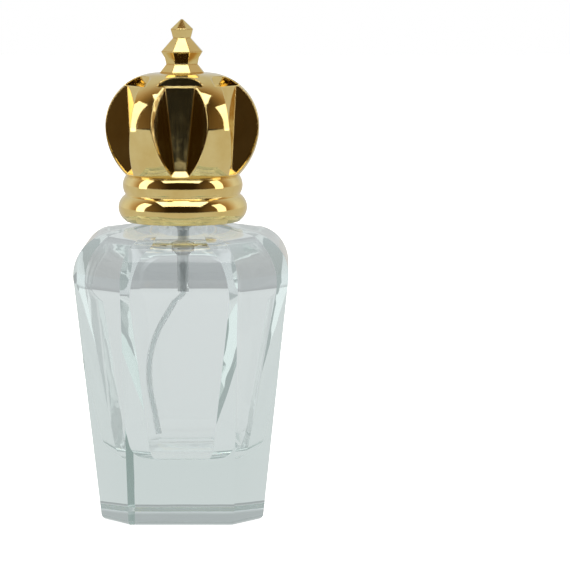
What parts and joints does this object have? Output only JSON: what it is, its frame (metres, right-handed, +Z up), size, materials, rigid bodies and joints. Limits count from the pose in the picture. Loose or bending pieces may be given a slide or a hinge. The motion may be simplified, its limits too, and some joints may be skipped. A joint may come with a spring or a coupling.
{
  "type": "perfume bottle",
  "caption": "Square tapered glass perfume bottle with chamfered corners, a crimped spray pump and a lift-off gold crown cap with leaf-shaped windows and a faceted finial.",
  "frame": {"origin": "centre of the foot, on the surface the bottle stands on", "axes": "+Z up along the neck's axis, -Y out of the front flat side, which is the way the nozzle faces, +X to the right of that front"},
  "size_m": [0.0526, 0.0526, 0.123],
  "materials": {
    "bottle_glass": "clear flint glass, fire-polished",
    "gasket_rubber": "moulded rubber, matte",
    "ferrule_aluminium": "drawn aluminium, bright",
    "white_polypropylene": "white polypropylene, semi-matte",
    "gold_aluminium": "gold-anodised aluminium, bright",
    "clear_polypropylene": "natural translucent polypropylene",
    "clear_polyethylene": "natural translucent polyethylene",
    "stainless_steel": "stainless steel, plain",
    "gold_button": "gold-anodised aluminium overshell, bright",
    "gold_zinc": "gold-plated cast zinc, polished"
  },
  "bodies": {
    "bottle": {"glass_bottle": "bottle_glass", "neck_gasket": "gasket_rubber", "crimp_ferrule": "ferrule_aluminium", "collar_liner": "white_polypropylene", "collar_shell": "gold_aluminium", "pump_housing": "clear_polypropylene", "housing_cap": "white_polypropylene", "stem_gasket": "gasket_rubber", "dip_tube": "clear_polyethylene", "return_spring": "stainless_steel"},
    "cap": {"crown_cap": "gold_zinc", "crown_finial": "gold_zinc", "cap_insert": "white_polypropylene"},
    "plunger": {"pump_stem": "white_polypropylene", "piston": "white_polypropylene"},
    "button": {"spray_button": "gold_button", "nozzle_insert": "white_polypropylene"},
    "ball": {"inlet_ball": "stainless_steel"}
  },
  "joints": [
    {"name": "cap_lift", "type": "slide", "parent": "bottle", "child": "cap", "axis": [0, 0, 1], "range_m": [0, 0.04]},
    {"name": "stem_press", "type": "slide", "parent": "bottle", "child": "plunger", "axis": [0, 0, -1], "range_m": [0, 0.0045], "stiffness_N_per_m": 2500, "springref_m": -0.002, "deforming": ["return_spring"]},
    {"name": "button_turn", "type": "hinge", "parent": "plunger", "child": "button", "pos_m": [0, 0, 0.0935], "axis": [0, 0, 1], "continuous": true},
    {"name": "ball_lift", "type": "slide", "parent": "bottle", "child": "ball", "axis": [0, 0, 1], "range_m": [0, 0.0007]}
  ]
}
